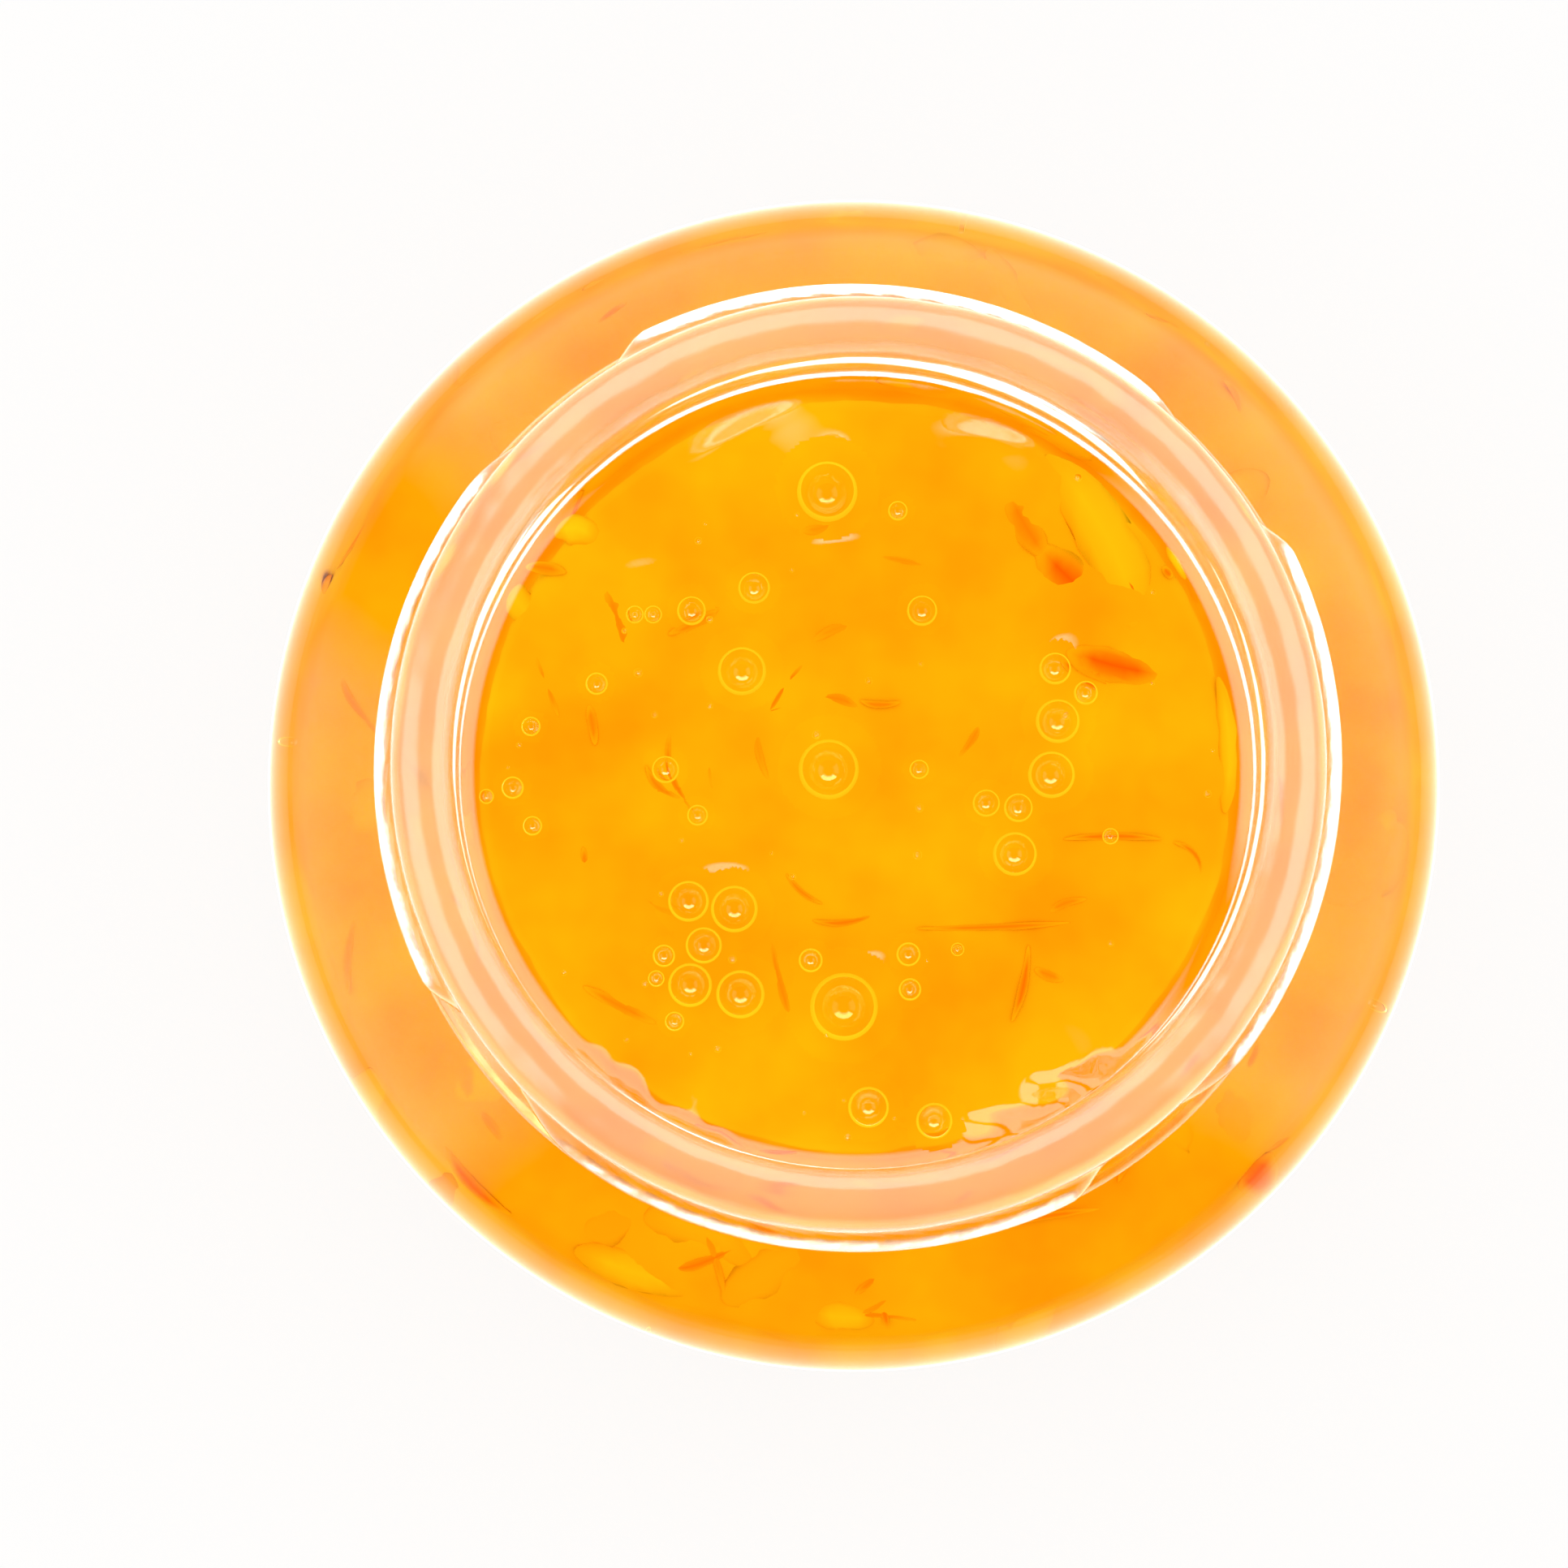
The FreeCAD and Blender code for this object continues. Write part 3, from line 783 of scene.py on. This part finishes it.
def matt_body(tree, finishes, tone):
    """Matt soft fruit, with painted shade that deepens its colour round the shoulder."""
    # painted shade: the colour goes deeper below the neck, less so on the side wall
    share = add_node(tree, "ShaderNodeMath", (), {
        0: by_height(tree, UNDER_NECK), 1: by_height(tree, OVER_SIDE, SIDE_SHARE),
    }, operation="MULTIPLY")
    painted_shade = add_node(tree, "ShaderNodeMix", {7: rgba(finishes.shoulder_shade)}, {
        0: share, 6: tone,
    }, data_type="RGBA", blend_type="MULTIPLY")
    body = add_node(tree, "ShaderNodeBsdfPrincipled", {
        "Roughness": PULP_ROUGHNESS, "Specular IOR Level": 0.0,
    }, {"Base Color": painted_shade.outputs[2]})
    add_node(tree, "ShaderNodeOutputMaterial", (), {"Surface": body})


# ---------------------------------------------------------------- what floats in the gel

SUNK = 0.55  # how deep a piece lies in the pulp, of half its thickness
THICKEST = 0.55  # of the pieces at their own places, in millimetres
UNEVEN = 0.35  # how much a piece swells and thins
UNEVENNESS = 700  # over about 1.5 mm
TONE = "tone"  # from the pale to the deep colour of its kind
HEART = "heart"  # from nothing at a piece's edge to one over its middle
HEART_GAIN, HEART_POWER = 1.5, 4


def append(bm, small):
    """Adds a small finished bmesh to a large one, which is quicker than growing it there."""
    mesh = bpy.data.meshes.new("append")
    small.to_mesh(mesh)
    small.free()
    bm.from_mesh(mesh)
    bpy.data.meshes.remove(mesh)


def sliver(bm, path, width, thickness, tone, outward):
    """Adds a flat spindle that bends through three places, flat side outward."""
    start, middle, end = path
    pull = middle * 2 - (start + end) / 2
    small = new_slivers()
    bmesh.ops.create_uvsphere(small, u_segments=10, v_segments=14, radius=1.0)
    tones, hearts = small.verts.layers.float[TONE], small.verts.layers.float[HEART]
    for vert in small.verts:
        vert[tones] = tone
        vert[hearts] = min(1.0, HEART_GAIN * vert.co.y ** HEART_POWER)
        along = (vert.co.z + 1) / 2
        place = start.lerp(pull, along).lerp(pull.lerp(end, along), along)
        way = (pull - start).lerp(end - pull, along).normalized()
        side = way.cross(outward).normalized()
        up = side.cross(way)
        rough = 1 + UNEVEN * noise.noise((place + vert.co * width / 2) * UNEVENNESS)
        place += side * vert.co.x * width / 2 * rough + up * vert.co.y * thickness / 2 * rough
        vert.co = place
    append(bm, small)


BUBBLE_STEPS = ((1.6, 24), (0.7, 16), (0.0, 8))  # over a diameter, rings from pole to pole


def bubble(bm, place, diameter):
    """Adds a ball of air, finer where it is larger."""
    small = bmesh.new()
    steps = next(steps for least, steps in BUBBLE_STEPS if diameter > least * MM)
    bmesh.ops.create_uvsphere(
        small, u_segments=2 * steps, v_segments=steps, radius=diameter / 2,
        matrix=Matrix.Translation(place),
    )
    append(bm, small)


def new_slivers():
    """An empty bmesh with room for the tone and the heart of each piece."""
    bm = bmesh.new()
    bm.verts.layers.float.new(TONE)
    bm.verts.layers.float.new(HEART)
    return bm


UP = Vector((0.0, 0.0, 1.0))
SLOPE_RISE = 100.0  # over a slope's outward millimetres: pieces under the neck lie along it


def add_listed(bm, chutney, rows, flatness):
    """Adds the slivers of a list at their depths under the level."""
    for x1, y1, x2, y2, x3, y3, width, depth, tone in rows:
        height = gel_level(chutney) - depth * MM
        under_neck = depth * MM > chutney.clear_depth + 1 * MM
        outward = Vector((x2, y2, SLOPE_RISE)) if under_neck else UP
        path = [Vector((x * MM, y * MM, height)) for x, y in ((x1, y1), (x2, y2), (x3, y3))]
        sliver(bm, path, width * MM, min(width * flatness, THICKEST) * MM, tone, outward)


TOP_MARGIN = 2 * MM  # pieces on top keep off the axis and the glass
DOWN_TO_SHOULDER = 0.32  # the share of the pieces above the side wall
SPOTS = (0.04, 0.96)  # shares of a stretch of the section
LEAST_LENGTH, LEAST_WIDTH = 0.35, 0.4  # of the longest and the widest
SAG = 0.15  # of a piece's length
TONES = 0.7  # the tones of strewn pieces end here


def scatter(bm, glass, chutney, count, longest, widest, flatness, palest, on_top, seed):
    """Adds seeded slivers all over the outside of the cloudy heart."""
    luck = random.Random(chutney.seed + seed)
    _, _, base, side, shoulder, neck, _ = pulp_section(glass, chutney)
    for _ in range(count):
        share = luck.random()
        if share < on_top:
            low, high = (TOP_MARGIN, neck[1]), (neck[0] - TOP_MARGIN, neck[1])
        elif share < DOWN_TO_SHOULDER:
            low, high = shoulder, side
        else:
            low, high = side, base
        spot = luck.uniform(*SPOTS)
        radius = low[0] + (high[0] - low[0]) * spot
        height = low[1] + (high[1] - low[1]) * spot
        clock = luck.uniform(0, math.tau)
        lie = luck.uniform(-1, 1)
        size = luck.uniform(LEAST_LENGTH, 1.0) * longest
        wall = Vector((high[0] - low[0], 0, high[1] - low[1])).normalized()
        width = luck.uniform(LEAST_WIDTH, 1.0) * widest
        inward = Vector((wall.z, 0, -wall.x))
        middle = Vector((radius, 0, height)) + inward * SUNK * width * flatness / 2
        step = Vector((0, math.cos(lie), 0)) + wall * math.sin(lie)
        sag = wall * luck.uniform(-SAG, SAG) * size
        path = [middle - step * size / 2, middle + sag, middle + step * size / 2]
        turn = Matrix.Rotation(clock, 3, "Z")
        path = [turn @ place for place in path]
        tone = palest + (1 - palest) * luck.random() * TONES
        sliver(bm, path, width, width * flatness, tone, turn @ -inward)


class CHUTNEY_OT_peel(bpy.types.Operator):
    """Strews cooked shreds of peel through the gel, each where it lies or by the seed"""

    bl_idname = "chutney.peel"
    bl_label = "Peel shreds"

    def execute(self, context):
        glass, chutney = context.scene.glass_sizes, context.scene.chutney_sizes
        bm = new_slivers()
        add_listed(bm, chutney, SHREDS, flatness=0.5)
        scatter(bm, glass, chutney, count=150, longest=7 * MM, widest=0.8 * MM,
                flatness=0.7, palest=0.0, on_top=0.08, seed=1)
        finishes = context.scene.finishes
        material = soft_fruit("cooked peel", finishes, finishes.pulp_dark, finishes.peel)
        finish_piece(bm, "peel_shreds", material)
        return {"FINISHED"}


class CHUTNEY_OT_fruit(bpy.types.Operator):
    """Sets soft pieces of fruit in the gel, each where it lies or by the seed"""

    bl_idname = "chutney.fruit"
    bl_label = "Fruit pieces"

    def execute(self, context):
        glass, chutney = context.scene.glass_sizes, context.scene.chutney_sizes
        bm = new_slivers()
        add_listed(bm, chutney, FRUIT, flatness=0.35)
        scatter(bm, glass, chutney, count=70, longest=8 * MM, widest=4.5 * MM,
                flatness=0.2, palest=0.3, on_top=0.0, seed=2)
        finishes = context.scene.finishes
        material = soft_fruit("cooked fruit", finishes, finishes.fruit, finishes.pulp_dark)
        finish_piece(bm, "fruit_pieces", material)
        return {"FINISHED"}


def soft_fruit(name, finishes, pale, deep):
    """Fruit cooked soft in syrup: matt, its edges gone to pulp, each piece with its own tone."""
    material, tree = new_material(name)
    tone = add_node(tree, "ShaderNodeAttribute", attribute_name=TONE)
    own = add_node(tree, "ShaderNodeMix", {6: rgba(pale), 7: rgba(deep)},
                   {0: tone.outputs["Fac"]}, data_type="RGBA")
    pulp = [(one + other) / 2 for one, other in zip(finishes.pulp, finishes.pulp_dark)]
    heart = add_node(tree, "ShaderNodeAttribute", attribute_name=HEART)
    blend = add_node(tree, "ShaderNodeMix", {6: rgba(pulp)}, {
        0: heart.outputs["Fac"], 7: own.outputs[2],
    }, data_type="RGBA")
    matt_body(tree, finishes, blend.outputs[2])
    return material


class CHUTNEY_OT_bubbles(bpy.types.Operator):
    """Sets air bubbles in the gel, the large ones close under its surface"""

    bl_idname = "chutney.bubbles"
    bl_label = "Air bubbles"

    def execute(self, context):
        glass, chutney = context.scene.glass_sizes, context.scene.chutney_sizes
        mouth = mouth_radius(glass)
        level = gel_level(chutney)
        luck = random.Random(chutney.seed)
        bm = bmesh.new()
        for across, along, breadth in BUBBLES + small_bubbles(luck, mouth / MM):
            x, y, diameter = across * MM, along * MM, breadth * MM
            top = level + relief(mouth, chutney, x, y) - chutney.bubble_cover
            bubble(bm, (x, y, top - diameter / 2), diameter)
        wall = pulp_section(glass, chutney)[3][0] + OFF_PULP
        for _ in range(WALL_BUBBLES):
            clock = luck.uniform(0, math.tau)
            height = luck.triangular(*WALL_HEIGHTS) * MM
            place = (wall * math.cos(clock), wall * math.sin(clock), height)
            bubble(bm, place, luck.uniform(*WALL_BREADTHS) * MM)
        mark_wetted(bm, lambda place, outward, upward: upward > CAP)
        # a painted ring of bright yellow light round each cap
        layer = bm.faces.layers.float.new(RING)
        for face in bm.faces:
            face[layer] = RING_SHARE if RING_FOOT < face.normal.z <= CAP else 0.0
        material = trapped_air(context.scene.finishes)
        piece = finish_piece(bm, "air_bubbles", material)
        piece.visible_diffuse = False
        return {"FINISHED"}


CAP = 0.5  # the cap of a bubble that touches the gel's skin is as good as open
RING = "ring"  # a painted ring of bright yellow light round the cap, where the bubble gathers and bends light
RING_FOOT = 0.1  # the painted ring lies between these two, as the rise of the wall's normal
# the share of the painted yellow light in the ring
RING_SHARE = 0.85
WALL_BUBBLES = 60
WALL_HEIGHTS = (10, 73, 73)  # lowest, highest and likeliest
WALL_BREADTHS = (0.25, 0.7)
OFF_PULP = 0.35 * MM
TINY_BUBBLES = 40
TINY_BREADTHS = (0.25, 0.6)
TINY_MARGIN = 1.5  # from the glass
LEAST_MIRRORED = 0.05  # of a bubble's wall seen straight on


def small_bubbles(luck, mouth):
    """Tiny bubbles strewn under the surface: place across and along, and diameter."""
    found = []
    while len(found) < TINY_BUBBLES:
        x, y = luck.uniform(-mouth, mouth), luck.uniform(-mouth, mouth)
        if math.hypot(x, y) < mouth - TINY_MARGIN:
            found.append((x, y, luck.uniform(*TINY_BREADTHS)))
    return found


def trapped_air(finishes):
    """Air shut in the gel: past a steep angle its wall throws all the light back, and a ring of
    painted yellow light lies round its cap.
    """
    material, tree = new_material("trapped air")
    bent = add_node(tree, "ShaderNodeBsdfRefraction", {
        "Color": WHITE, "Roughness": 0.0, "IOR": 1 / GEL_IOR,
    })
    mirrored = add_node(tree, "ShaderNodeBsdfGlossy", {
        "Color": WHITE, "Roughness": 0.0,
    })
    share = add_node(tree, "ShaderNodeFresnel", {"IOR": 1 / GEL_IOR})
    straight_on = 0.03  # what the Fresnel formula gives there
    soft = add_node(tree, "ShaderNodeMapRange", {
        1: straight_on, 2: 1.0, 3: LEAST_MIRRORED, 4: 1.0,
    }, {0: share})
    wall = add_node(tree, "ShaderNodeMixShader", (), {
        0: soft, 1: bent, 2: mirrored,
    })
    opening = add_node(tree, "ShaderNodeBsdfTransparent")
    mark = add_node(tree, "ShaderNodeAttribute", attribute_name=WETTED)
    both = add_node(tree, "ShaderNodeMixShader", (), {
        0: mark.outputs["Fac"], 1: wall, 2: opening,
    })
    # painted light: a matt bright yellow ring stands in for the light a bubble gathers and bends
    # round its cap
    ring_glow = add_node(tree, "ShaderNodeBsdfDiffuse", {"Color": rgba(finishes.ring_glow)})
    ring = add_node(tree, "ShaderNodeAttribute", attribute_name=RING)
    ringed = add_node(tree, "ShaderNodeMixShader", (), {
        0: ring.outputs["Fac"], 1: both, 2: ring_glow,
    })
    add_node(tree, "ShaderNodeOutputMaterial", (), {
        "Surface": let_light_through(tree, ringed.outputs[0]),
    })
    return material


# ---------------------------------------------------------------- the stage


PANEL_EDGE = 5  # degrees over which a panel's edge fades, either way


def panel(tree, azimuth, elevation, centre, half, low, high):
    """How much of a soft light panel shows in a direction, from 0 to 1."""
    off = add_node(tree, "ShaderNodeMath", {1: math.radians(centre)}, {0: azimuth},
                   operation="SUBTRACT")
    wrapped = add_node(tree, "ShaderNodeMath", {1: math.pi, 2: -math.pi}, {0: off},
                       operation="WRAP")
    away = add_node(tree, "ShaderNodeMath", (), {0: wrapped}, operation="ABSOLUTE")
    edge = math.radians(PANEL_EDGE)
    whole = None
    for source, start, stop in (
        (away, math.radians(half) + edge, math.radians(half) - edge),
        (elevation, math.radians(low) - edge, math.radians(low) + edge),
        (elevation, math.radians(high) + edge, math.radians(high) - edge),
    ):
        mask = add_node(tree, "ShaderNodeMapRange", {1: start, 2: stop}, {0: source})
        whole = mask if whole is None else add_node(
            tree, "ShaderNodeMath", (), {0: whole, 1: mask}, operation="MULTIPLY"
        )
    return whole


def brightest(tree, lights):
    """The brightest of several lights, each given as its mask and its strength."""
    best = None
    for mask, strength in lights:
        shown = add_node(tree, "ShaderNodeMath", {1: strength}, {0: mask},
                         operation="MULTIPLY")
        best = shown if best is None else add_node(
            tree, "ShaderNodeMath", (), {0: best, 1: shown}, operation="MAXIMUM"
        )
    return best


# Light panels: middle of the clock angle, half its width, lowest and highest elevation.
PANELS = [
    (51, 86, 10, 68),
    (191, 31, 10, 68),
]
PANEL_SHINE = 6.0  # the panels as surfaces mirror them
HORIZON = (0, 181, -2, 12)  # the far white walls
HORIZON_SHINE = 2.2
PANEL_THROUGH = 1.2  # the panels as clear pieces show them
KEY = (90, 55, 42, 68)  # the small bright lamp
KEY_SHINE = 12.0
DOME = 1.1  # even soft light that falls on everything
SURROUND = 3.0  # the white sheet and walls, as the glass shows them
SURROUND_TOP = (38, 32)  # elevations between which they set in, on the way down
FLOOR_REACH = 4.0
FLOOR_GAP = 0.2 * MM  # under the jar, so that the two don't touch


class CHUTNEY_OT_stage(bpy.types.Operator):
    """Lays the white floor and hangs the soft light panels and the camera"""

    bl_idname = "chutney.stage"
    bl_label = "Stage"

    def execute(self, context):
        bm = bmesh.new()
        bmesh.ops.create_grid(bm, x_segments=1, y_segments=1, size=FLOOR_REACH)
        mesh = bpy.data.meshes.new("floor")
        bm.to_mesh(mesh)
        bm.free()
        floor = bpy.data.objects.new("floor", mesh)
        floor.location.z = -FLOOR_GAP
        mesh.materials.append(studio_floor(context.scene.finishes))
        context.scene.collection.objects.link(floor)
        light_world(context.scene)
        place_camera(context.scene)
        return {"FINISHED"}


GLARE = 0.8  # the share of the sheet that is overexposed


def studio_floor(finishes):
    """Matt white sheet, which the eye sees as plain white with a trace of shadow."""
    material, tree = new_material("white sheet")
    sheet = add_node(tree, "ShaderNodeBsdfDiffuse", {"Color": rgba(finishes.floor)})
    white = add_node(tree, "ShaderNodeEmission", {"Color": WHITE, "Strength": 1.0})
    path = add_node(tree, "ShaderNodeLightPath")
    seen = add_node(tree, "ShaderNodeMath", {1: GLARE}, {0: path.outputs["Is Camera Ray"]},
                    operation="MULTIPLY")
    mix = add_node(tree, "ShaderNodeMixShader", (), {0: seen, 1: sheet, 2: white})
    bright = add_node(tree, "ShaderNodeEmission", {"Color": WHITE, "Strength": SURROUND})
    shiny = add_node(tree, "ShaderNodeMixShader", (), {
        0: path.outputs["Is Glossy Ray"], 1: mix, 2: bright,
    })
    through = add_node(tree, "ShaderNodeMixShader", (), {
        0: path.outputs["Is Transmission Ray"], 1: shiny, 2: bright,
    })
    add_node(tree, "ShaderNodeOutputMaterial", (), {"Surface": through})
    return material


def light_world(scene):
    """A dark room with white light panels, white to the eye itself."""
    world = bpy.data.worlds.new("studio")
    scene.world = world
    world.use_nodes = True
    world.cycles.sampling_method = "NONE"
    tree = world.node_tree
    tree.nodes.clear()
    spot = add_node(tree, "ShaderNodeTexCoord")
    parts = add_node(tree, "ShaderNodeSeparateXYZ", (), {0: spot.outputs["Generated"]})
    azimuth = add_node(tree, "ShaderNodeMath", (), {
        0: parts.outputs["Y"], 1: parts.outputs["X"],
    }, operation="ARCTAN2")
    elevation = add_node(tree, "ShaderNodeMath", (), {0: parts.outputs["Z"]}, operation="ARCSINE")

    def lit(place):
        """How much of a panel shows."""
        return panel(tree, azimuth, elevation, *place)

    panels = [lit(place) for place in PANELS]
    low = add_node(tree, "ShaderNodeMapRange", {
        1: math.radians(SURROUND_TOP[0]), 2: math.radians(SURROUND_TOP[1]),
    }, {0: elevation})
    mirrored = brightest(tree, [
        (lit(HORIZON), HORIZON_SHINE), *((mask, PANEL_SHINE) for mask in panels),
    ])
    behind = brightest(tree, [
        (low, SURROUND), (lit(KEY), KEY_SHINE), *((mask, PANEL_THROUGH) for mask in panels),
    ])
    path = add_node(tree, "ShaderNodeLightPath")
    plain = {"Color": WHITE, "Strength": DOME}
    sky = add_node(tree, "ShaderNodeBackground", plain)
    for ray, strength in (
        ("Is Glossy Ray", {"Strength": mirrored}),
        ("Is Transmission Ray", {"Strength": behind}),
        ("Is Camera Ray", {}),
    ):
        shown = add_node(tree, "ShaderNodeBackground", {"Color": WHITE}, strength)
        sky = add_node(tree, "ShaderNodeMixShader", (), {
            0: path.outputs[ray], 1: sky, 2: shown,
        })
    add_node(tree, "ShaderNodeOutputWorld", (), {"Surface": sky})


def place_camera(scene):
    """A long lens that looks straight down beside the jar, shifted to frame it."""
    camera = bpy.data.cameras.new("camera")
    camera.sensor_width = 36.0
    camera.lens = 112.1
    camera.shift_x = 0.0103
    camera.shift_y = 0.2304
    camera.clip_start = 0.01
    camera.clip_end = 20.0
    holder = bpy.data.objects.new("camera", camera)
    holder.location = Vector((-5.8, -24.3, 405.6)) * MM
    scene.collection.objects.link(holder)
    scene.camera = holder


class CHUTNEY_PT_panel(bpy.types.Panel):
    """The jar's sizes, colours and steps"""

    bl_idname = "CHUTNEY_PT_panel"
    bl_label = "Chutney Jar"
    bl_space_type = "VIEW_3D"
    bl_region_type = "UI"
    bl_category = "Chutney Jar"

    def draw(self, context):
        scene = context.scene
        for group in (scene.glass_sizes, scene.chutney_sizes, scene.finishes):
            box = self.layout.box()
            for name in group.__annotations__:
                box.prop(group, name)
        for operator in OPERATORS:
            self.layout.operator(operator.bl_idname)


OPERATORS = (
    CHUTNEY_OT_glass,
    CHUTNEY_OT_gel,
    CHUTNEY_OT_pulp,
    CHUTNEY_OT_fruit,
    CHUTNEY_OT_peel,
    CHUTNEY_OT_bubbles,
    CHUTNEY_OT_stage,
)
CLASSES = (GlassSizes, ChutneySizes, Finishes, *OPERATORS, CHUTNEY_PT_panel)


def register():
    """Registers the classes and hangs their settings on the scene."""
    for each in CLASSES:
        bpy.utils.register_class(each)
    bpy.types.Scene.glass_sizes = PointerProperty(type=GlassSizes)
    bpy.types.Scene.chutney_sizes = PointerProperty(type=ChutneySizes)
    bpy.types.Scene.finishes = PointerProperty(type=Finishes)


def unregister():
    """Takes the settings and the classes away again."""
    del bpy.types.Scene.finishes
    del bpy.types.Scene.chutney_sizes
    del bpy.types.Scene.glass_sizes
    for each in reversed(CLASSES):
        bpy.utils.unregister_class(each)


def main():
    """Builds the whole jar."""
    register()
    scene = bpy.context.scene
    scene.view_settings.view_transform = "Standard"
    scene.cycles.caustics_reflective = False
    scene.cycles.caustics_refractive = False
    scene.cycles.max_bounces = 8
    scene.cycles.diffuse_bounces = 2
    scene.cycles.glossy_bounces = 4
    scene.cycles.transmission_bounces = 8
    scene.cycles.transparent_max_bounces = 12
    bpy.ops.chutney.glass()
    bpy.ops.chutney.gel()
    bpy.ops.chutney.pulp()
    bpy.ops.chutney.fruit()
    bpy.ops.chutney.peel()
    bpy.ops.chutney.bubbles()
    bpy.ops.chutney.stage()
    bpy.context.view_layer.update()


if __name__ == "__main__":
    main()
